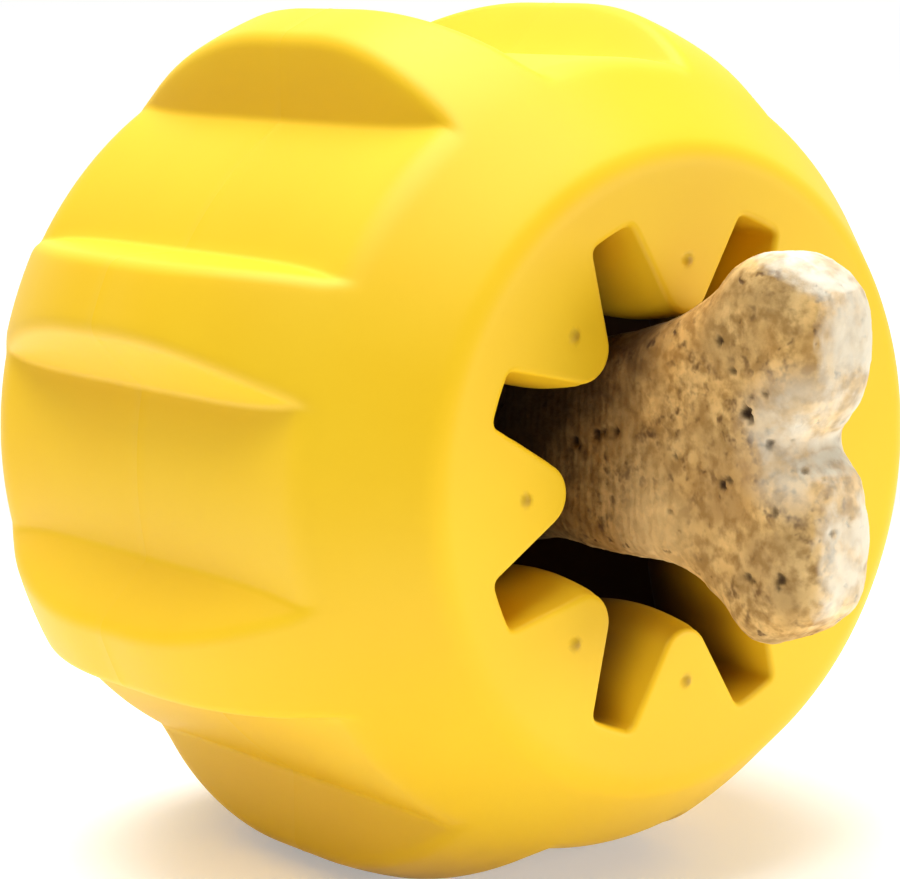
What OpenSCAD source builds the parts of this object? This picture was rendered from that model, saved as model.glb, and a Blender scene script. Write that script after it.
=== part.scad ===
// Dog chew holder: a lugged rubber barrel with a toothed mouth at each end, and the bone biscuit it holds.
// Frame: +Z up, the front mouth faces -Y, and the holder lies on its two lowest lugs at Z = 0.

/* [Holder] */
// Length of the holder from face to face
holder_l = 54; // [50:0.5:58]
// Diameter over the crests of two opposite lugs
crest_d = 70.6; // [69:0.2:72]
// Diameter of the barrel at the floor of the grooves
floor_d = 59.6; // [58.6:0.2:61]
// Diameter of the flat end face, out to the start of the flank
face_d = 47; // [45:0.5:49]
// Slope of the flank between end face and barrel, from the axis
flank_angle = 40; // [38:1:42]
// Radius of the soft edge between end face and flank
face_edge_r = 3; // [1:0.5:4]

/* [Lugs] */
// Width of a lug at its foot, on the floor of the grooves
foot_w = 10.8; // [10:0.2:11.6]
// Lean of a lug's walls, which lets the mould open
wall_draft = 24; // [18:1:26]
// Radius of the softened crest edges
crest_edge_r = 1.6; // [1:0.1:2]
// Length of the straight stretch in the middle of a crest
land_l = 6; // [5:0.5:7]
// Radius that the crest follows from the straight stretch down to the groove's end
crest_arc_r = 26; // [25:0.5:26.5]

/* [Mouths and chamber] */
// Diameter of a mouth at the roots of the notches
mouth_d = 38.4; // [37:0.2:39.4]
// Diameter of the circle inside the tooth tips
tip_d = 23.2; // [22.6:0.2:24]
// Angle between the two sides of a tooth
tooth_angle = 61; // [58:1:62]
// Radius of a tooth's rounded tip
tip_r = 2.35; // [1.5:0.05:2.6]
// Depth of a mouth, which is the thickness of the end wall
mouth_depth = 12; // [10:0.5:13]
// Diameter of the chamber between the mouths
chamber_d = 43; // [41:0.5:45]
// Radius of the chamber's corners
chamber_r = 5; // [3:0.5:7]

/* [Chew] */
// Length of the bone biscuit
chew_l = 54; // [52:0.5:55]
// Width across a pair of knuckles
knuckle_w = 28; // [27:0.5:28.5]
// Radius of a knuckle
knuckle_r = 6.3; // [6:0.1:6.6]
// Depth of the notch between the two knuckles of an end
notch_depth = 3.2; // [2.6:0.1:3.8]
// Width of the shaft at its waist, half-way along
waist_w = 15; // [14:0.2:15.4]
// Width of the shaft where its flares begin
neck_w = 16.6; // [16:0.2:16.8]
// Length of a flare, from the neck to the middle of the knuckle
flare_l = 9; // [8.5:0.5:9.5]
// Thickness of the biscuit
chew_t = 9; // [7:0.5:9.6]
// Radius of the biscuit's rounded edges
chew_edge_r = 3; // [2:0.5:3.4]
// How far the biscuit stands out of the front face
chew_reach = 15.8; // [15.4:0.2:18]
// Height of the biscuit's middle above the holder's axis, at the front face
chew_rise = 1.9; // [0:0.1:2.1]
// Nose-up tilt of the biscuit
chew_tilt = 5.5; // [0:0.5:6]

/* [Hidden] */
$fn = 96;
// Colours of the moulded rubber and of the baked biscuit
rubber = "#f7d032";
biscuit = "#c8aa78";
// Number of lugs around the barrel, and of teeth in each mouth
lug_count = 8;
half_l = holder_l / 2;
floor_r = floor_d / 2;
crest_r = crest_d / 2;
face_r = face_d / 2;
mouth_r = mouth_d / 2;
pitch = 360 / lug_count;
// A lug stands on either side of the bottom, so the first one is half a pitch from the vertical
first_lug = 90 - pitch / 2;
// Distance from the face back to the circle where flank and groove floor meet
groove_end = (floor_r - face_r) / tan(flank_angle);
// Depth of a lug's root inside the barrel
lug_root = 4;
// Angle by which a crest arc runs on below the flank, and where the crests' envelope ends
crest_dip = 5;
crown_end = land_l / 2 + crest_arc_r * sin(flank_angle + crest_dip);
// Half the width that a crest would have with sharp edges, and what is left flat of it between softened ones
crest_half = foot_w / 2 - (crest_r - floor_r) * tan(wall_draft);
crest_flat = crest_half - crest_edge_r * tan((90 - wall_draft) / 2);
// A crest edge is softened in two steps, from the top of the wall over the point that touches the ground
wall_top = edge_point(90 - wall_draft);
rest_point = edge_point((90 - wall_draft) / 2);
// Height of the holder's axis when it lies on two lugs
axis_z = rest_point * [cos(pitch / 2), sin(pitch / 2)];
// Radius at which the two sides of a tooth would meet in a sharp tip
sharp_tip = tip_d / 2 - tip_r * (1 / sin(tooth_angle / 2) - 1);
// How far a tooth's root stands in the end wall, behind the notches
tooth_root = 2;
// Overrun of a cut past the faces that it goes through
cut = 1;
// The whole part is centred over the origin, so the holder sits back by half of the biscuit's reach
holder_y = chew_reach / 2;
// Steps in the biscuit's round outlines, and in its rounded edges
bone_steps = 40;
edge_round_steps = 16;
// Knuckle centres, along and across the biscuit, and the point where a flare touches its knuckle
knuckle_s = chew_l / 2 - knuckle_r;
knuckle_v = knuckle_w / 2 - knuckle_r;
flare_touch = tangent_point([-flare_l, neck_w / 2], [0, knuckle_v], knuckle_r, 1);
// Bottom of the notch, and the point where its side touches the knuckle
notch = [knuckle_r - notch_depth, 0];
notch_touch = tangent_point(notch, [0, knuckle_v], knuckle_r, -1);
// Distance from the front face to the biscuit's middle, so that its lower knuckle reaches chew_reach
chew_mid = chew_reach - knuckle_r - knuckle_s * cos(chew_tilt) - knuckle_v * sin(chew_tilt);

// Point on the round of a crest edge, turned from the crest towards the wall
function edge_point(turn) =
    [crest_r - crest_edge_r, crest_flat] + crest_edge_r * [cos(turn), sin(turn)];

// Unit vector from a to b
function toward(a, b) = (b - a) / norm(b - a);

// Distance from a corner to where its round begins
function round_start(a, b, c, r) =
    r / tan(acos(toward(b, a) * toward(b, c)) / 2);

// Centre of the round at corner b
function round_centre(a, b, c, r) =
    let (half = acos(toward(b, a) * toward(b, c)) / 2,
         mid = toward(b, a) + toward(b, c))
    b + mid / norm(mid) * r / sin(half);

// Point where a line from p touches a circle, with the circle to its right (side 1) or left (side -1)
function tangent_point(p, centre, r, side) =
    let (d = norm(centre - p),
         lean = atan2(centre[1] - p[1], centre[0] - p[0]) + side * asin(r / d),
         reach = sqrt(d * d - r * r))
    p + reach * [cos(lean), sin(lean)];

// A convex outline with a true arc at each corner; a radius of 0 leaves the corner sharp
module soft_outline(points, radii) {
    n = len(points);
    before = [for (i = [0 : n - 1]) points[(i + n - 1) % n]];
    after = [for (i = [0 : n - 1]) points[(i + 1) % n]];
    polygon([
        for (i = [0 : n - 1])
            for (side = radii[i] > 0 ? [before[i], after[i]] : [points[i]])
                radii[i] > 0
                    ? points[i] + toward(points[i], side)
                        * round_start(before[i], points[i], after[i], radii[i])
                    : points[i]
    ]);
    for (i = [0 : n - 1])
        if (radii[i] > 0)
            translate(round_centre(before[i], points[i], after[i], radii[i]))
                circle(r = radii[i]);
}

// The plain barrel: groove floor, flanks and end faces, turned about its axis
module barrel() {
    rotate_extrude()
        soft_outline(
            [[0, -half_l], [face_r, -half_l], [floor_r, groove_end - half_l],
             [floor_r, half_l - groove_end], [face_r, half_l], [0, half_l]],
            [0, face_edge_r, 0, 0, face_edge_r, 0]);
}

// Cross-section of a lug on the +X side, from its root to a ridge above the crest that the envelope cuts off.
// Its top facets lie flat on the ground when the holder rests on two lugs.
module lug_section() {
    root = floor_r - lug_root - cut;
    root_half = foot_w / 2 + (floor_r - root) * tan(wall_draft);
    ridge = rest_point[0] + rest_point[1] * tan(pitch / 2);
    polygon([
        [root, -root_half], [wall_top[0], -wall_top[1]], [rest_point[0], -rest_point[1]], [ridge, 0],
        rest_point, wall_top, [root, root_half]
    ]);
}

// Envelope of all crests, turned about the axis: straight in the middle, then an arc down to both groove ends
module crown() {
    rotate_extrude()
        intersection() {
            translate([floor_r - lug_root, -crown_end])
                square([crest_r - floor_r + lug_root, 2 * crown_end]);
            union() {
                translate([0, -land_l / 2])
                    square([crest_r, land_l]);
                for (end = [-1, 1])
                    translate([crest_r - crest_arc_r, end * land_l / 2])
                        circle(r = crest_arc_r);
            }
        }
}

// The ring of lugs: straight ribs with leaning walls, cut to the envelope of their crests
module lugs() {
    intersection() {
        crown();
        for (i = [0 : lug_count - 1])
            rotate(first_lug + pitch * i)
                translate([0, 0, -half_l])
                    linear_extrude(holder_l)
                        lug_section();
    }
}

// One tooth, pointing at the axis from +X, drawn out past the roots of the notches
module tooth() {
    back = mouth_r + tooth_root;
    half_back = (back - sharp_tip) * tan(tooth_angle / 2);
    soft_outline([[sharp_tip, 0], [back, -half_back], [back, half_back]], [tip_r, 0, 0]);
}

// The star opening of a mouth
module mouth() {
    difference() {
        circle(r = mouth_r);
        for (i = [0 : lug_count - 1])
            rotate(first_lug + pitch * (i + 0.5))
                tooth();
    }
}

// The hollow between the two mouths, turned about the axis
module chamber() {
    end = half_l - mouth_depth;
    rotate_extrude()
        soft_outline(
            [[0, -end], [chamber_d / 2, -end], [chamber_d / 2, end], [0, end]],
            [0, chamber_r, chamber_r, 0]);
}

// The one-piece rubber holder
module holder_body() {
    color(rubber)
        translate([0, holder_y, axis_z])
            rotate([90, 0, 0])
                difference() {
                    union() {
                        barrel();
                        lugs();
                    }
                    chamber();
                    for (end = [0, 1])
                        mirror([0, 0, end])
                            translate([0, 0, half_l - mouth_depth - cut])
                                linear_extrude(mouth_depth + 2 * cut)
                                    mouth();
                }
}

// The upper half of one end of the bone's outline, from its middle to the knuckle
module bone_quarter() {
    polygon([[0, 0], [0, waist_w / 2], [knuckle_s - flare_l, neck_w / 2], [knuckle_s, 0]]);
    translate([knuckle_s, 0]) {
        translate([0, knuckle_v])
            circle(r = knuckle_r);
        polygon([[-flare_l, 0], [-flare_l, neck_w / 2], flare_touch, [0, knuckle_v], notch_touch, notch]);
    }
}

// The baked bone biscuit, flat and upright, with rounded edges
module bone_chew() {
    $fn = bone_steps;
    color(biscuit)
        translate([0, holder_y - half_l - chew_mid, axis_z + chew_rise + chew_mid * tan(chew_tilt)])
            rotate([-chew_tilt, 0, 0])
                rotate([90, 0, -90])
                    minkowski() {
                        linear_extrude(chew_t - 2 * chew_edge_r, center = true)
                            offset(delta = -chew_edge_r)
                                for (back = [0, 1], low = [0, 1])
                                    mirror([back, 0])
                                        mirror([0, low])
                                            bone_quarter();
                        sphere(r = chew_edge_r, $fn = edge_round_steps);
                    }
}

holder_body();
bone_chew();
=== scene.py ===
# Dog chew holder: a lugged barrel of yellow rubber with a toothed mouth at each end,
# and the bone-shaped biscuit that its front mouth holds.
import math
import random

import bpy
import numpy as np
from mathutils import Matrix, Vector, kdtree, noise


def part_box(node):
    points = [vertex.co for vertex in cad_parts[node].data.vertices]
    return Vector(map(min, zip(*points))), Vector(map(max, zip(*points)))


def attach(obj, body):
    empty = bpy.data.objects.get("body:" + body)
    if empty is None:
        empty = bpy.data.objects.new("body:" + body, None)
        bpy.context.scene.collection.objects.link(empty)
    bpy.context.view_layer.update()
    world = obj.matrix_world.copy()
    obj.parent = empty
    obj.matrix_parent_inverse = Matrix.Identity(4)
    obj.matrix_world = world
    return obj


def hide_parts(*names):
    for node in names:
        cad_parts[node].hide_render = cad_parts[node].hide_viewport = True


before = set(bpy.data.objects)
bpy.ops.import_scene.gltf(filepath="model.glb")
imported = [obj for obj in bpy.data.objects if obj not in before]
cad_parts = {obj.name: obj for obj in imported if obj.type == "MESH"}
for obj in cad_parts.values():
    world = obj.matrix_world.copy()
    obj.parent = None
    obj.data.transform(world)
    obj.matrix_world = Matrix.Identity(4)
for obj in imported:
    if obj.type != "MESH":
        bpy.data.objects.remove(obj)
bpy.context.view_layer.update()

# Holder
# One hollow moulding of satin yellow rubber, pressed in a mould that parts at mid-length.
# Eight drafted lugs run along the barrel and fade into the flanks, and eight teeth point
# into the mouth of each end wall.
mm = 0.001
holder_low, holder_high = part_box("holder_body")
axis_z = (holder_low.z + holder_high.z) / 2
mid_y = (holder_low.y + holder_high.y) / 2
half_l = (holder_high.y - holder_low.y) / 2

lug_count = 8
pitch = math.tau / lug_count
first_lug = math.pi / 2 - pitch / 2

crest_r = 35.3 * mm
floor_r = 29.8 * mm
face_r = 23.5 * mm
flank_slope = math.radians(40)
face_edge_r = 3.0 * mm
groove_edge_r = 4.5 * mm
land = 3.0 * mm
crest_arc_r = (
    (half_l - land) * math.sin(flank_slope) - (crest_r - face_r) * math.cos(flank_slope)
) / (1 - math.cos(flank_slope))
groove_end = half_l - (floor_r - face_r) / math.tan(flank_slope)

# The parting line stands a hair proud
seam_h = 0.025 * mm
seam_w = 0.16 * mm


def crest_radius(s):
    """Radius of a lug's crest at a distance s from mid-length: straight, then an arc, then the flank."""
    arc_end = land + crest_arc_r * math.sin(flank_slope)
    if s <= land:
        return crest_r
    if s <= arc_end:
        return crest_r - crest_arc_r + math.sqrt(crest_arc_r**2 - (s - land) ** 2)
    return face_r + (half_l - s) * math.tan(flank_slope)


def floor_radius(s):
    """Radius of the groove floor at a distance s from mid-length, with a soft edge to the flank."""
    soft = groove_edge_r * math.tan(flank_slope / 2)
    start = groove_end - soft
    if s <= start:
        return floor_r
    if s <= groove_end + soft * math.cos(flank_slope):
        return floor_r - groove_edge_r + math.sqrt(groove_edge_r**2 - (s - start) ** 2)
    return face_r + (half_l - s) * math.tan(flank_slope)


# Cross-section of half a lug, from its middle to the middle of the groove: crest, rounded edge,
# wall, fillet and floor. The foot of the wall runs almost straight along the barrel and draws in
# a little at the tips, so the crest widens where the lug gets lower.
crest_edge_r = 1.5 * mm
foot_half = 5.65 * mm
tip_draw = 0.9 * mm
foot_r = 0.6 * mm
fade_h = 1.4 * mm
wall_lean = math.radians(24)
section_steps = {"crest": 4, "edge": 7, "wall": 3, "foot": 4, "floor": 9}
columns = sum(section_steps.values())
even = np.linspace(0, 1, columns + 1)


def lug_section(h):
    """Ends of crest, edge, wall and foot across half a lug of height h, and the turn of its rounds."""
    rounds = crest_edge_r + foot_r
    full_turn = math.pi / 2 - wall_lean
    if h < rounds * (1 - math.cos(full_turn)):
        turn = math.acos(1 - h / rounds)
        wall = 0
    else:
        turn = full_turn
        wall = (h - rounds * (1 - math.cos(turn))) * math.tan(wall_lean)
    foot_end = foot_half - tip_draw * (1 - h / (crest_r - floor_r)) ** 2
    wall_end = foot_end - foot_r * math.sin(turn)
    edge_end = wall_end - wall
    crest_end = edge_end - crest_edge_r * math.sin(turn)
    return crest_end, edge_end, wall_end, foot_end, turn


def lug_height(a, h):
    """Height over the groove floor at the places a across a lug of height h."""
    crest_end, edge_end, wall_end, foot_end, turn = lug_section(h)
    on_edge = h - crest_edge_r + np.sqrt(np.maximum(crest_edge_r**2 - (a - crest_end) ** 2, 0))
    edge_drop = h - crest_edge_r * (1 - math.cos(turn))
    on_wall = edge_drop - (a - edge_end) / math.tan(wall_lean)
    on_foot = foot_r - np.sqrt(np.maximum(foot_r**2 - (foot_end - a) ** 2, 0))
    return np.select(
        [a <= crest_end, a <= edge_end, a < wall_end, a < foot_end],
        [h, on_edge, on_wall, on_foot],
        0,
    )


def lug_columns(h, groove_half):
    """Places of the mesh columns across half a lug of height h, even where it is lower than fade_h."""
    crest_end, edge_end, wall_end, foot_end, turn = lug_section(h)
    turns = np.linspace(0, turn, section_steps["edge"] + 1)[1:]
    foot_turns = np.linspace(turn, 0, section_steps["foot"] + 1)[1:]
    stations = np.concatenate([
        np.linspace(0, crest_end, section_steps["crest"] + 1),
        crest_end + crest_edge_r * np.sin(turns),
        np.linspace(edge_end, wall_end, section_steps["wall"] + 1)[1:],
        foot_end - foot_r * np.sin(foot_turns),
        np.linspace(foot_end, groove_half, section_steps["floor"] + 1)[1:],
    ])
    fade = max(0, 1 - h / fade_h) ** 2
    return stations * (1 - fade) + even * groove_half * fade


# Outline of half a notch and half a tooth, in the plane of the face, with the notch on the first axis.
# It has as many steps as the lug's section, so that every ring has the same columns.
mouth_r = 19.2 * mm
tip_r = 11.6 * mm
tip_round = 2.35 * mm
tooth_half_angle = math.radians(31.5)
notch_round = 0.55 * mm
mouth_edge_r = 0.5 * mm
mouth_depth = 12.0 * mm
tooth_draft = math.radians(1.5)
tooth_swell = 0.7 * mm
outline_steps = {"root": 4, "corner": 4, "side": 11, "tip": 8}


def mouth_outline():
    """Points along half a notch and half a tooth, and the directions from them into the rubber."""
    sharp_tip = tip_r + tip_round - tip_round / math.sin(tooth_half_angle)
    side = np.array([math.cos(tooth_half_angle), math.sin(tooth_half_angle)])
    reach = sharp_tip * side[0]
    corner_along = math.sqrt(reach**2 - sharp_tip**2 + mouth_r**2) - reach
    corner = np.array([sharp_tip, 0]) + corner_along * side
    corner_angle = math.atan2(corner[1], corner[0])
    root_end = corner_angle + notch_round / mouth_r
    root = np.linspace(pitch / 2, root_end, outline_steps["root"] + 1)
    points = [mouth_r * np.array([math.cos(a), math.sin(a)]) for a in root]
    start = points[-1]
    end = corner - notch_round * side
    for t in np.linspace(0, 1, outline_steps["corner"] + 1)[1:]:
        points.append((1 - t) ** 2 * start + 2 * t * (1 - t) * corner + t**2 * end)
    touch = np.array([sharp_tip, 0]) + tip_round / math.tan(tooth_half_angle) * side
    for t in np.linspace(0, 1, outline_steps["side"] + 1)[1:]:
        points.append((1 - t) * end + t * touch)
    for a in np.linspace(math.pi / 2 - tooth_half_angle, 0, outline_steps["tip"] + 1)[1:]:
        points.append(np.array([tip_r + tip_round - tip_round * math.cos(a), tip_round * math.sin(a)]))
    on_tooth = np.array(points)
    to_notch = np.array([
        [math.cos(pitch / 2), math.sin(pitch / 2)],
        [math.sin(pitch / 2), -math.cos(pitch / 2)],
    ])
    outline = on_tooth @ to_notch.T
    along = np.gradient(outline, axis=0)
    inward = np.stack([-along[:, 1], along[:, 0]], 1)
    inward[0] = [1, 0]
    inward[-1] = [math.cos(pitch / 2), math.sin(pitch / 2)]
    inward *= np.sign(np.sum(inward * outline, 1))[:, None]
    return outline, inward / np.linalg.norm(inward, axis=1)[:, None]


outline, into_rubber = mouth_outline()


def outline_ring(offset, s):
    """The mouth's outline as a ring at s from mid-length, set back into the rubber by an offset.

    The offset is one distance, or one for each column.
    """
    points = outline + np.asarray(offset)[..., None] * into_rubber
    radius = np.hypot(points[:, 0], points[:, 1])
    return radius, np.arctan2(points[:, 1], points[:, 0]), np.full(columns + 1, s)


# Rings from mid-length over the front end and back through its mouth into the chamber.
# Each holds a radius, an angle from the lug's middle and a distance from mid-length for every column.
# They lie closer together at the parting line and where the grooves run out.
rings = []
flank_end = half_l - face_edge_r * math.tan((math.pi / 2 - flank_slope) / 2) * math.cos(flank_slope)
lug_stations = np.concatenate([
    np.array([0, 0.5 * seam_w, seam_w, 1.2 * mm, 2.6 * mm]),
    np.linspace(land, groove_end - 2.5 * mm, 14),
    np.linspace(groove_end - 2.0 * mm, groove_end + 1.6 * mm, 11),
    np.linspace(groove_end + 2.4 * mm, flank_end, 5),
])
for s in lug_stations:
    height = max(crest_radius(s) - floor_radius(s), 0)
    places = lug_columns(height, pitch / 2 * floor_radius(s))
    radius = floor_radius(s) + lug_height(places, height)
    seam = seam_h * max(0, 1 - s / seam_w)
    rings.append((radius + seam, places / radius, np.full(columns + 1, s)))

face_flat_r = face_r - face_edge_r * (1 - math.sin(flank_slope)) / math.cos(flank_slope)
for lean in np.linspace(flank_slope, math.pi / 2, 8)[1:]:
    rings.append((
        np.full(columns + 1, face_flat_r + face_edge_r * math.cos(lean)),
        even * pitch / 2,
        np.full(columns + 1, half_l - face_edge_r + face_edge_r * math.sin(lean)),
    ))

# The face is flat between its outer edge and the rounded edge of the mouth, with a vent pip
# on each tooth. Its rings lie closer together over the pips.
pip_at = 15.6 * mm
pip_r = 0.42 * mm
pip_h = 0.22 * mm
rim_radius, rim_angle, _ = outline_ring(mouth_edge_r, half_l)
rim = np.stack([rim_radius * np.cos(rim_angle), rim_radius * np.sin(rim_angle)], 1)
edge = face_flat_r * np.stack([np.cos(even * pitch / 2), np.sin(even * pitch / 2)], 1)
pip_share = (face_flat_r - pip_at) / (face_flat_r - rim_radius[-1])
pip_spread = pip_r / (face_flat_r - rim_radius[-1])
face_shares = np.concatenate([
    np.linspace(0, pip_share - 1.6 * pip_spread, 5)[1:],
    pip_share + pip_spread * np.linspace(-1.1, 1.1, 9),
    np.linspace(pip_share + 1.8 * pip_spread, 1, 5),
])
for share in face_shares:
    points = edge * (1 - share) + rim * share
    radius = np.hypot(points[:, 0], points[:, 1])
    rings.append((radius, np.arctan2(points[:, 1], points[:, 0]), np.full(columns + 1, half_l)))

for lean in np.linspace(0, math.pi / 2, 7)[1:]:
    back = mouth_edge_r * (1 - math.sin(lean))
    rings.append(outline_ring(back, half_l - mouth_edge_r * (1 - math.cos(lean))))

# The teeth are a little fuller half-way through the wall, but not in the corners of the notches
full_from = 0.4
last_ring = mouth_depth - 1.5 * mm
from_root = (mouth_r - np.hypot(outline[:, 0], outline[:, 1])) / (mouth_r - tip_r)
swell_share = np.clip(from_root / full_from, 0, 1)
for depth in np.linspace(mouth_edge_r, last_ring, 13)[1:]:
    swell = tooth_swell * swell_share * math.sin(math.pi * depth / mouth_depth)
    rings.append(outline_ring(-depth * math.tan(tooth_draft) - swell, half_l - depth))

# Chamber between the mouths: a turned hollow with round corners
chamber_r = 21.5 * mm
chamber_corner_r = 5.0 * mm
chamber_end = half_l - mouth_depth
inner_draft = -mouth_depth * math.tan(tooth_draft)
corner_centre = chamber_r - chamber_corner_r
chamber_path = corner_centre + chamber_corner_r * math.pi / 2


def chamber_point(path):
    """Radius and distance from mid-length on the chamber's end wall, along a path out from the axis."""
    turn = np.maximum(path - corner_centre, 0) / chamber_corner_r
    radius = np.where(turn > 0, corner_centre + chamber_corner_r * np.sin(turn), path)
    return radius, chamber_end - chamber_corner_r * (1 - np.cos(turn))


def chamber_path_at(radius):
    """Path out from the axis at which the chamber's end wall has that radius."""
    turn = np.arcsin(np.clip((radius - corner_centre) / chamber_corner_r, 0, 1))
    return np.where(radius > corner_centre, corner_centre + chamber_corner_r * turn, radius)


# The inner edge of the mouth is rounded too, in two steps
inner_edge_r = 0.6 * mm
for back, ahead in ((0, inner_edge_r), (0.3 * inner_edge_r, 0.3 * inner_edge_r)):
    radius, angle, _ = outline_ring(inner_draft + back, chamber_end)
    _, wall_s = chamber_point(chamber_path_at(radius))
    rings.append((radius, angle, wall_s + ahead))
radius, angle, _ = outline_ring(inner_draft + inner_edge_r, chamber_end)
start = chamber_path_at(radius)
for share in np.linspace(0, 1, 8):
    path = start + (chamber_path - start) * share
    wall_radius, wall_s = chamber_point(path)
    rings.append((wall_radius, angle + (even * pitch / 2 - angle) * share, wall_s))
for s in np.linspace(chamber_end - chamber_corner_r, 0, 4)[1:]:
    rings.append((np.full(columns + 1, chamber_r), even * pitch / 2, np.full(columns + 1, s)))

# The rear end is the front end's mirror image, so its rings run back in reverse
rings += [(radius, angle, -s) for radius, angle, s in rings[-2:0:-1]]

# A flat grid is wrapped up: its columns go round the axis, and its rings over the ends and
# through the hollow, so both pairs of edges meet
around = 2 * columns * lug_count
bpy.ops.object.select_all(action="DESELECT")
bpy.ops.mesh.primitive_grid_add(
    x_subdivisions=around, y_subdivisions=len(rings), size=1, location=(0, 0, 0)
)
holder = bpy.context.object
holder.name = "rubber_holder"
flat = np.zeros(len(holder.data.vertices) * 3)
holder.data.vertices.foreach_get("co", flat)
flat = flat.reshape(-1, 3) + 0.5
column_of = np.rint(flat[:, 0] * around).astype(int) % around
ring_of = np.rint(flat[:, 1] * len(rings)).astype(int) % len(rings)
lug_of, step_of = np.divmod(column_of, 2 * columns)
side_of = step_of - columns
radius_of, angle_of, s_of = np.array(rings)[ring_of, :, np.abs(side_of)].T
turn_of = first_lug + lug_of * pitch + np.sign(side_of) * angle_of
places = np.stack([radius_of * np.cos(turn_of), mid_y - s_of, axis_z + radius_of * np.sin(turn_of)], 1)
tooth_turns = [first_lug + (tooth + 0.5) * pitch for tooth in range(lug_count)]
pips = [
    np.array([pip_at * math.cos(turn), mid_y - half_l, axis_z + pip_at * math.sin(turn)])
    for turn in tooth_turns
]
for pip in pips:
    away = np.linalg.norm(places - pip, axis=1) / pip_r
    places[:, 1] -= pip_h * np.sqrt(np.clip(1 - away**2, 0, 1))
holder.data.vertices.foreach_set("co", places.astype(np.float32).ravel())
holder.data.update()
bpy.ops.object.mode_set(mode="EDIT")
bpy.ops.mesh.select_all(action="SELECT")
bpy.ops.mesh.remove_doubles(threshold=0.001 * mm)
bpy.ops.mesh.normals_make_consistent(inside=False)
bpy.ops.object.mode_set(mode="OBJECT")
bpy.ops.object.shade_smooth()

# Painted shade darkens the pips and round their feet, out to the reach below, in pip radii
pip_shade_reach = 1.5
places = np.zeros(len(holder.data.vertices) * 3)
holder.data.vertices.foreach_get("co", places)
places = places.reshape(-1, 3)
pip_shade = np.zeros(len(places))
for pip in pips:
    away = np.linalg.norm(places - pip, axis=1) / pip_r
    pip_shade = np.maximum(pip_shade, np.clip(pip_shade_reach - away, 0, 1))
pip_shade_layer = holder.data.attributes.new("pip_shade", "FLOAT", "POINT")
pip_shade_layer.data.foreach_set("value", pip_shade.astype(np.float32))


def new_material(name):
    """A new material, its nodes and its links, with only a surface shader and an output so far."""
    material = bpy.data.materials.new(name)
    material.use_nodes = True
    return material, material.node_tree.nodes, material.node_tree.links


def feed(value, socket):
    """Links a node's result to a socket, or sets the socket to a plain value."""
    if isinstance(value, bpy.types.NodeSocket):
        links.new(value, socket)
    else:
        socket.default_value = value


def colour_mix(fac, first, second):
    """A mix of two colours by a factor."""
    mix = nodes.new("ShaderNodeMix")
    mix.data_type = "RGBA"
    feed(fac, mix.inputs["Factor"])
    feed(first, mix.inputs["A"])
    feed(second, mix.inputs["B"])
    return mix.outputs["Result"]


def ranged(value, low, high, to_low=0.0, to_high=1.0, kind="SMOOTHSTEP"):
    """A step of a value from low to high, smooth or, with the kind LINEAR, straight."""
    step = nodes.new("ShaderNodeMapRange")
    step.interpolation_type = kind
    step.inputs["From Min"].default_value = low
    step.inputs["From Max"].default_value = high
    step.inputs["To Min"].default_value = to_low
    step.inputs["To Max"].default_value = to_high
    links.new(value, step.inputs["Value"])
    return step.outputs["Result"]


def noise_at(scale, detail):
    """A noise pattern on the piece's own coordinates."""
    pattern = nodes.new("ShaderNodeTexNoise")
    pattern.inputs["Scale"].default_value = scale
    pattern.inputs["Detail"].default_value = detail
    links.new(coords.outputs["Object"], pattern.inputs["Vector"])
    return pattern.outputs["Fac"]


def maths(operation, *values):
    """The result of an operation on one to three values."""
    worked = nodes.new("ShaderNodeMath")
    worked.operation = operation
    for value, socket in zip(values, worked.inputs):
        feed(value, socket)
    return worked.outputs["Value"]


def along(vector, direction):
    """How far a vector reaches along a direction."""
    reach = nodes.new("ShaderNodeVectorMath")
    reach.operation = "DOT_PRODUCT"
    reach.inputs[1].default_value = direction
    links.new(vector, reach.inputs[0])
    return reach.outputs["Value"]


# The yellow is faintly clouded, and its surface finely grained
deep_yellow = (0.905, 0.55, 0.011, 1)
light_yellow = (0.925, 0.59, 0.017, 1)
rubber, nodes, links = new_material("satin_yellow_rubber")
shader = nodes["Principled BSDF"]
shader.inputs["Specular IOR Level"].default_value = 0.25
coords = nodes.new("ShaderNodeTexCoord")
place = coords.outputs["Object"]
cloud = noise_at(55, 3)
tone = colour_mix(ranged(cloud, 0.3, 0.7, kind="LINEAR"), deep_yellow, light_yellow)
gloss = ranged(cloud, 0.0, 1.0, 0.42, 0.52, kind="LINEAR")
bump = nodes.new("ShaderNodeBump")
bump.inputs["Strength"].default_value = 0.12
bump.inputs["Distance"].default_value = 0.05 * mm
links.new(noise_at(2600, 2), bump.inputs["Height"])
links.new(bump.outputs["Normal"], shader.inputs["Normal"])
# The pips and their feet get a painted shade
pip_shade_brown = (0.46, 0.26, 0.012, 1)
pip_shade_attribute = nodes.new("ShaderNodeAttribute")
pip_shade_attribute.attribute_name = "pip_shade"
pip_shaded = colour_mix(pip_shade_attribute.outputs["Fac"], tone, pip_shade_brown)

# Distances from the axis and from mid-length tell the walls of the mouths and the chamber
# from the outside
across = nodes.new("ShaderNodeVectorMath")
across.operation = "MULTIPLY"
across.inputs[1].default_value = (1, 0, 1)
links.new(place, across.inputs[0])
from_axis = nodes.new("ShaderNodeVectorMath")
from_axis.operation = "DISTANCE"
from_axis.inputs[1].default_value = (0, 0, axis_z)
links.new(across.outputs["Vector"], from_axis.inputs[0])
inside_ends = chamber_r + 0.3 * mm
inside_full = chamber_r + 0.1 * mm
inside = ranged(from_axis.outputs["Value"], inside_ends, inside_full, kind="LINEAR")
from_middle = maths("ABSOLUTE", maths("SUBTRACT", along(place, (0, 1, 0)), mid_y))
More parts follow.
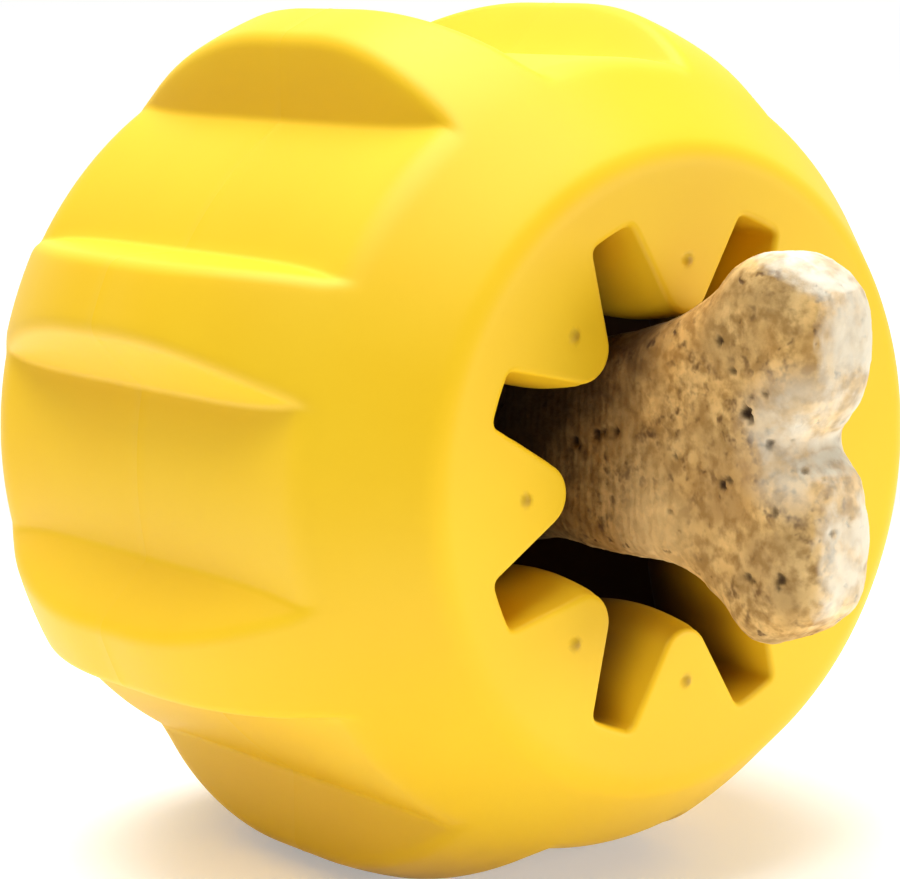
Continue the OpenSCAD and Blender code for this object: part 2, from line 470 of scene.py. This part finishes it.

# Painted shade darkens the lowest walls of the mouths, a little way in past the edge
low_wall_shade = (0.22, 0.095, 0.008, 1)
unshaded_below_axis = 8.5 * mm
shaded_below_axis = 13 * mm
low_shade_most = 0.75
low_shade_from = 0.3 * mm
low_shade_depth = 5 * mm
upwards = along(place, (0, 0, 1))
low_down = ranged(upwards, axis_z - unshaded_below_axis, axis_z - shaded_below_axis, 0.0, low_shade_most)
past_edge = ranged(from_middle, half_l - low_shade_from, half_l - low_shade_depth)
low_wall_shading = maths("MULTIPLY", maths("MULTIPLY", inside, past_edge), low_down)
low_walls_shaded = colour_mix(low_wall_shading, pip_shaded, low_wall_shade)

# Further in, painted shade darkens the rubber all round, and it is duller
chamber_painted_shade = (0.045, 0.018, 0.004, 1)
shade_and_matte_from = 2.0 * mm
shade_and_matte_full = 11.5 * mm
dull_roughness = 0.95
shaded_and_matte = maths("MULTIPLY", inside, ranged(from_middle, half_l - shade_and_matte_from, half_l - shade_and_matte_full))
links.new(colour_mix(shaded_and_matte, low_walls_shaded, chamber_painted_shade), shader.inputs["Base Color"])
dry = nodes.new("ShaderNodeMix")
links.new(shaded_and_matte, dry.inputs["Factor"])
links.new(gloss, dry.inputs["A"])
dry.inputs["B"].default_value = dull_roughness
links.new(dry.outputs["Result"], shader.inputs["Roughness"])
holder.data.materials.append(rubber)
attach(holder, "holder")
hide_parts("holder_body")

# Chew
# A baked bone-shaped biscuit, stamped from rolled dough and pushed between the teeth of the front mouth.
# It is dry and porous, with puffed knuckles and open pores, and its front end is whitened by a floury
# bloom and a painted highlight.
front_y = mid_y - half_l
chew_t = 8.6 * mm
chew_edge_r = 3.2 * mm
# Half of the outline, in mm: out of the front face and above the holder's axis, from waist to waist.
# The other half is the same, turned about the chew's middle.
chew_mid = -11.84
chew_rise = 0.96
bone_half = [
    (-11.8, 8.4), (-7.0, 9.5), (-3.2, 10.4), (0.4, 11.5), (2.8, 12.8), (5.0, 14.2), (7.1, 16.1),
    (9.6, 16.9), (12.2, 16.5), (14.2, 15.3), (15.2, 13.4), (15.4, 11.0), (15.3, 8.6), (14.6, 6.4),
    (13.6, 5.0), (12.9, 3.8), (13.4, 2.8), (14.5, 1.6), (15.1, -0.2), (15.5, -2.6), (15.45, -5.2),
    (15.0, -7.6), (13.6, -9.1), (11.4, -10.2), (9.4, -10.7), (7.9, -10.0), (6.7, -8.9), (5.2, -7.9),
    (3.9, -7.1), (2.4, -6.6), (0.4, -6.4), (-2.6, -6.5), (-7.0, -6.7),
]
rear_half = [(2 * chew_mid - out, 2 * chew_rise - above) for out, above in bone_half]
bone_points = bone_half + rear_half
bone_curve = bpy.data.curves.new("bone_outline", "CURVE")
bone_curve.dimensions = "2D"
bone_curve.fill_mode = "BOTH"
bone_curve.resolution_u = 6
bone_curve.extrude = chew_t / 2 - chew_edge_r
bone_curve.bevel_depth = chew_edge_r
bone_curve.bevel_resolution = 6
bone_curve.offset = -chew_edge_r
bone_line = bone_curve.splines.new("BEZIER")
bone_line.bezier_points.add(len(bone_points) - 1)
for point, (out, above) in zip(bone_line.bezier_points, bone_points):
    point.co = (out * mm, above * mm, 0)
    point.handle_left_type = "AUTO"
    point.handle_right_type = "AUTO"
bone_line.use_cyclic_u = True
chew = bpy.data.objects.new("biscuit_bone", bone_curve)
bpy.context.scene.collection.objects.link(chew)
bpy.ops.object.select_all(action="DESELECT")
chew.select_set(True)
bpy.context.view_layer.objects.active = chew
bpy.ops.object.convert(target="MESH")
chew = bpy.context.object
# The outline stands upright along the holder's axis, with its thickness across
stand = Matrix(((0, 0, -1, 0), (-1, 0, 0, front_y), (0, 1, 0, axis_z), (0, 0, 0, 1)))
chew.data.transform(stand)
remesh = chew.modifiers.new("crumb", "REMESH")
remesh.mode = "VOXEL"
remesh.voxel_size = 0.21 * mm
bpy.ops.object.modifier_apply(modifier=remesh.name)
even_out = chew.modifiers.new("even_out", "SMOOTH")
even_out.factor = 0.5
even_out.iterations = 10
bpy.ops.object.modifier_apply(modifier=even_out.name)
bpy.ops.object.shade_smooth()

# Lumps and crumbs of the baked surface
lump_size = 5.5 * mm
lump_h = 0.22 * mm
crumb_size = 1.1 * mm
crumb_h = 0.07 * mm
bread = chew.data
skin = [(vertex.co.copy(), vertex.normal.copy()) for vertex in bread.vertices]
for vertex, (place, normal) in zip(bread.vertices, skin):
    lump = noise.noise(place / lump_size) * lump_h
    crumb = noise.fractal(place / crumb_size, 1.0, 2.0, 3) * crumb_h
    vertex.co = place + normal * (lump + crumb)

# Open pores. The large ones are where the near face has them, in mm: out of the front face, above
# the axis, and the radius. Smaller ones are scattered over all sides.
near_side = -4.3
pore_spots = [
    (10.0, 5.9, 0.60), (7.4, 10.7, 0.40), (11.9, 7.6, 0.32), (10.7, 7.2, 0.28), (8.7, 8.8, 0.34),
    (12.4, 3.9, 0.36), (7.6, 0.7, 0.44), (8.4, 1.1, 0.34), (12.9, -0.5, 0.34), (10.4, -5.5, 0.36),
    (11.1, -5.7, 0.32), (13.4, -5.1, 0.40), (13.2, -5.8, 0.34), (3.1, 2.1, 0.32), (-7.4, 2.0, 0.48),
    (-5.2, 2.8, 0.42), (-4.2, 3.0, 0.36), (-3.0, 3.2, 0.38),
]
small_pores = 80
small_pore_r = 0.17
small_pore_spread = 0.14
finder = kdtree.KDTree(len(bread.vertices))
for vertex in bread.vertices:
    finder.insert(vertex.co, vertex.index)
finder.balance()
random.seed(7)
pores = [
    (Vector((near_side * mm, front_y - out * mm, axis_z + above * mm)), radius * mm)
    for out, above, radius in pore_spots
]
for _ in range(small_pores):
    spot = random.choice(bread.vertices).co.copy()
    pores.append((spot, (small_pore_r + small_pore_spread * random.random() ** 2) * mm))

# Each pore is a ragged dent, pore_w times its radius wide and pore_d times its radius deep.
# One with a radius under open_r is shallower, and has less painted shade inside.
open_r = 0.48 * mm
pore_w = 1.25
pore_d = 0.8
ragged_share = 0.8
ragged_size = 0.40 * mm
farthest = pore_w * (1 + ragged_share)
openness = np.zeros(len(bread.vertices))
dents = np.zeros((len(bread.vertices), 3))
for spot, radius in pores:
    _, centre, _ = finder.find(spot)
    spot = bread.vertices[centre].co.copy()
    inward = -bread.vertices[centre].normal
    for place, index, distance in finder.find_range(spot, farthest * radius):
        ragged = 1 + ragged_share * noise.noise(place / ragged_size)
        share = max(0, 1 - (distance / (pore_w * radius * ragged)) ** 2) * min(1, radius / open_r)
        if share > openness[index]:
            openness[index] = share
            dents[index] = np.array(inward) * share * radius * pore_d
for vertex, dent in zip(bread.vertices, dents):
    vertex.co = vertex.co + Vector(dent)
bread.update()
pore_layer = bread.attributes.new("pore", "FLOAT", "POINT")
pore_layer.data.foreach_set("value", openness.astype(np.float32))

biscuit, nodes, links = new_material("baked_biscuit_crumb")
shader = nodes["Principled BSDF"]
shader.inputs["Roughness"].default_value = 0.92
shader.inputs["Specular IOR Level"].default_value = 0.2

# Crust and crumb are mottled in patches and in fine grain, warmer in some places and greyer in others
coords = nodes.new("ShaderNodeTexCoord")
place = coords.outputs["Object"]
geometry = nodes.new("ShaderNodeNewGeometry")
crumb_warm = (0.83, 0.515, 0.175, 1)
crumb_grey = (0.78, 0.525, 0.215, 1)
crust_warm = (0.44, 0.24, 0.066, 1)
crust_grey = (0.36, 0.215, 0.070, 1)
blotch_brown = (0.17, 0.09, 0.032, 1)
warmth = ranged(noise_at(130, 2), 0.35, 0.65)
crumb_colour = colour_mix(warmth, crumb_warm, crumb_grey)
crust_colour = colour_mix(warmth, crust_warm, crust_grey)
patched = colour_mix(ranged(noise_at(330, 3), 0.30, 0.70, 0.0, 0.6), crumb_colour, crust_colour)
mottled = colour_mix(ranged(noise_at(900, 3), 0.36, 0.68), patched, crust_colour)
spot_places = ranged(noise_at(280, 2), 0.40, 0.60, 0.2, 1.0)
spots = maths("MULTIPLY", ranged(noise_at(1050, 2), 0.50, 0.74), spot_places)
blotched = colour_mix(spots, mottled, blotch_brown)


def near_face(out, above, reach, most):
    """A soft spot on the near face, in mm: out of the front face, above the axis and its reach."""
    from_spot = nodes.new("ShaderNodeVectorMath")
    from_spot.operation = "DISTANCE"
    from_spot.inputs[1].default_value = (near_side * mm, front_y - out * mm, axis_z + above * mm)
    links.new(place, from_spot.inputs[0])
    return ranged(from_spot.outputs["Value"], reach * mm, 1.0 * mm, 0.0, most)


# Painted light brightens the lower edge of the neck, and the front end has two browner places
neck_painted_light = (0.98, 0.68, 0.30, 1)
baked_brown = (0.30, 0.165, 0.055, 1)
neck_lit = colour_mix(near_face(0.5, -3.6, 6.0, 0.55), blotched, neck_painted_light)
browned = colour_mix(near_face(8.2, 0.4, 4.5, 0.45), neck_lit, baked_brown)
browned = colour_mix(near_face(12.4, -4.6, 4.5, 0.32), browned, baked_brown)

# Specks between the open pores, each cell of the pattern with one or none
cells = nodes.new("ShaderNodeTexVoronoi")
cells.inputs["Scale"].default_value = 760
bend = 1.8 * mm
wander = nodes.new("ShaderNodeTexNoise")
wander.inputs["Scale"].default_value = 900
links.new(place, wander.inputs["Vector"])
bent_place = nodes.new("ShaderNodeVectorMath")
bent_place.operation = "MULTIPLY_ADD"
bent_place.inputs[1].default_value = (bend, bend, bend)
links.new(wander.outputs["Color"], bent_place.inputs[0])
links.new(place, bent_place.inputs[2])
links.new(bent_place.outputs["Vector"], cells.inputs["Vector"])
draw = nodes.new("ShaderNodeSeparateColor")
links.new(cells.outputs["Color"], draw.inputs["Color"])
drawn = ranged(draw.outputs["Red"], 0.45, 0.85)
speck = maths("MULTIPLY", ranged(cells.outputs["Distance"], 0.34, 0.04), drawn)
speck_brown = (0.12, 0.06, 0.024, 1)
specked = colour_mix(ranged(speck, 0.0, 0.9, 0.0, 0.85), browned, speck_brown)

# Flour lies in the notch between the knuckles. The rounded front end and the upper edges are whitened
# partly by flour and partly by a painted highlight on the faces turned to the lamps
flour_and_highlight_white = (0.86, 0.79, 0.63, 1)
end_flour_and_highlight = ranged(along(geometry.outputs["Normal"], (0.50, -0.87, 0.0)), 0.40, 1.0, 0.0, 0.85)
top_flour_and_highlight = ranged(along(geometry.outputs["Normal"], (0.0, -0.45, 0.90)), 0.60, 0.95)
in_notch = near_face(14.4, 4.4, 6.5, 0.9)
flour_and_highlight = maths("MAXIMUM", maths("MAXIMUM", end_flour_and_highlight, top_flour_and_highlight), in_notch)
flour_and_highlight_share = maths("MULTIPLY", flour_and_highlight, ranged(noise_at(420, 4), 0.32, 0.58, 0.4, 1.0))
floured_and_highlighted = colour_mix(flour_and_highlight_share, specked, flour_and_highlight_white)

# Painted shade darkens the inside of the pores
pore_painted_shade = (0.030, 0.015, 0.007, 1)
pore_depth = nodes.new("ShaderNodeAttribute")
pore_depth.attribute_name = "pore"
pores_shaded = colour_mix(ranged(pore_depth.outputs["Fac"], 0.0, 1.0), floured_and_highlighted, pore_painted_shade)

# Painted shade darkens the shaft in the mouth and just behind it, first along its upper side.
# The edge of the painted shade is ragged.
shaft_shade = (0.040, 0.017, 0.006, 1)
shade_lean = 0.8
shade_ragged = 7 * mm
shade_from = front_y + shade_lean * axis_z + 6 * mm
shade_full = shade_from + 10 * mm
shade_most = 0.93
unshaded_in_front = front_y - 4 * mm
shaded_in_front = front_y + 1 * mm
shaded_behind = front_y + 21 * mm
unshaded_behind = front_y + 28 * mm
shade_edge = maths("MULTIPLY_ADD", noise_at(300, 3), shade_ragged, along(place, (0, 1, shade_lean)))
inwards = along(place, (0, 1, 0))
past_front = ranged(inwards, unshaded_in_front, shaded_in_front)
before_rear = ranged(inwards, shaded_behind, unshaded_behind, 1.0, 0.0)
shade_zone = maths("MULTIPLY", past_front, before_rear)
shaft_shading = maths("MULTIPLY", ranged(shade_edge, shade_from, shade_full, 0.0, shade_most), shade_zone)
links.new(colour_mix(shaft_shading, pores_shaded, shaft_shade), shader.inputs["Base Color"])

# Faint ribs from the rolled dough run across the shaft, and the whole surface is rough
ribs = nodes.new("ShaderNodeTexWave")
ribs.bands_direction = "Y"
ribs.inputs["Scale"].default_value = 420
ribs.inputs["Distortion"].default_value = 3.5
ribs.inputs["Detail"].default_value = 2
links.new(place, ribs.inputs["Vector"])
ribs_from = front_y - 5 * mm
ribs_full = front_y + 1 * mm
rib_share = 0.4
on_shaft = maths("MULTIPLY", ribs.outputs["Fac"], ranged(inwards, ribs_from, ribs_full, 0.0, rib_share))
pitted = maths("SUBTRACT", maths("ADD", on_shaft, noise_at(2400, 4)), speck)
bump = nodes.new("ShaderNodeBump")
bump.inputs["Strength"].default_value = 0.6
bump.inputs["Distance"].default_value = 0.12 * mm
links.new(pitted, bump.inputs["Height"])
links.new(bump.outputs["Normal"], shader.inputs["Normal"])
chew.data.materials.append(biscuit)
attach(chew, "chew")
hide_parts("bone_chew")

# Stage
# A plain white floor under soft studio light: a broad lamp above, weaker ones from the left and
# the front right, and bounce from below, where the floor glows a little in a ring round the holder.
bpy.ops.object.select_all(action="DESELECT")
bpy.ops.mesh.primitive_plane_add(size=6, location=(0, 0, 0))
floor = bpy.context.object
floor.name = "floor"
paper, nodes, links = new_material("white_paper_floor")
shader = nodes["Principled BSDF"]
shader.inputs["Roughness"].default_value = 1.0
shader.inputs["Specular IOR Level"].default_value = 0
shader.inputs["Emission Color"].default_value = (1, 1, 1, 1)


def seen_directly():
    """1 for what the camera sees, straight or in gloss or glass, and 0 for light on its way."""
    light_path = nodes.new("ShaderNodeLightPath")
    gloss_or_glass = maths(
        "MAXIMUM", light_path.outputs["Is Glossy Ray"], light_path.outputs["Is Transmission Ray"]
    )
    return maths("MAXIMUM", light_path.outputs["Is Camera Ray"], gloss_or_glass)


# A white card lies under the holder, and a ring of it glows. Seen directly, the floor fades to white.
coords = nodes.new("ShaderNodeTexCoord")
away = nodes.new("ShaderNodeVectorMath")
away.operation = "LENGTH"
links.new(coords.outputs["Object"], away.inputs[0])
distance = away.outputs["Value"]
white_card = (0.9, 0.9, 0.9, 1)
outer_floor = (0.25, 0.25, 0.25, 1)
links.new(colour_mix(ranged(distance, 0.10, 0.16), white_card, outer_floor), shader.inputs["Base Color"])
ring_glow = 1.05
ring_starts = ranged(distance, 0.045, 0.06)
glow = maths("MULTIPLY", ring_starts, ranged(distance, 0.10, 0.13, ring_glow, 0.0))
lift = nodes.new("ShaderNodeMix")
links.new(seen_directly(), lift.inputs["Factor"])
links.new(glow, lift.inputs["A"])
links.new(ranged(distance, 0.04, 0.3, 0.35, 1.0), lift.inputs["B"])
links.new(lift.outputs["Result"], shader.inputs["Emission Strength"])
floor.data.materials.append(paper)

world = bpy.data.worlds.new("studio")
bpy.context.scene.world = world
world.use_nodes = True
nodes = world.node_tree.nodes
links = world.node_tree.links
room = nodes["Background"]
room.inputs["Color"].default_value = (1, 1, 1, 1)
room.inputs["Strength"].default_value = 0.05
backdrop = nodes.new("ShaderNodeBackground")
backdrop.inputs["Color"].default_value = (1, 1, 1, 1)
backdrop.inputs["Strength"].default_value = 1.0
which = nodes.new("ShaderNodeMixShader")
links.new(seen_directly(), which.inputs["Fac"])
links.new(room.outputs["Background"], which.inputs[1])
links.new(backdrop.outputs["Background"], which.inputs[2])
links.new(which.outputs["Shader"], nodes["World Output"].inputs["Surface"])


def soft_lamp(name, place, size, power):
    """Hangs a square softbox at a place, turned to the holder's middle."""
    data = bpy.data.lights.new(name, "AREA")
    data.size = size
    data.energy = power
    lamp = bpy.data.objects.new(name, data)
    bpy.context.scene.collection.objects.link(lamp)
    lamp.location = place
    aim = Vector((0, mid_y, axis_z)) - lamp.location
    lamp.rotation_mode = "QUATERNION"
    lamp.rotation_quaternion = aim.to_track_quat("-Z", "Y")


soft_lamp("softbox_above", (0.0, 0.07, 0.64), 0.6, 6.3)
soft_lamp("softbox_left", (-0.30, -0.05, 0.60), 0.5, 1.5)
soft_lamp("softbox_right", (0.45, -0.60, 0.12), 0.4, 3.4)

# Camera
# It stands in front and to the left of the mouth, a little above it, as in the photograph.
camera_turn = math.radians(39.898)
camera_height = math.radians(9.715)
camera_roll = math.radians(-0.53)
aim_right = 0.8985 * mouth_r
aim_down = 0.1266 * mouth_r
camera_away = 10.930 * mouth_r
focal_px = 2885.7
frame_px = 900.0
camera_data = bpy.data.cameras.new("camera")
camera_data.sensor_width = 36.0
camera_data.lens = focal_px / frame_px * camera_data.sensor_width
camera_data.clip_start = 0.01
camera_data.clip_end = 20
camera = bpy.data.objects.new("camera", camera_data)
bpy.context.scene.collection.objects.link(camera)
# Rows: the camera's right, down and forward directions in the part's frame, before its tilt and roll
level = Matrix((
    (math.cos(camera_turn), -math.sin(camera_turn), 0),
    (0, 0, -1),
    (math.sin(camera_turn), math.cos(camera_turn), 0),
))
tilt = Matrix.Rotation(camera_height, 3, "X")
roll = Matrix.Rotation(camera_roll, 3, "Z")
looks = tilt @ roll @ level
offset = Vector((aim_right, aim_down, camera_away))
face_middle = Vector((0, front_y, axis_z))
flip = Matrix.Diagonal((1, -1, -1))
camera.matrix_world = Matrix.Translation(face_middle - looks.transposed() @ offset) @ (
    flip @ looks
).transposed().to_4x4()
bpy.context.scene.camera = camera
bpy.context.scene.view_settings.view_transform = "Standard"
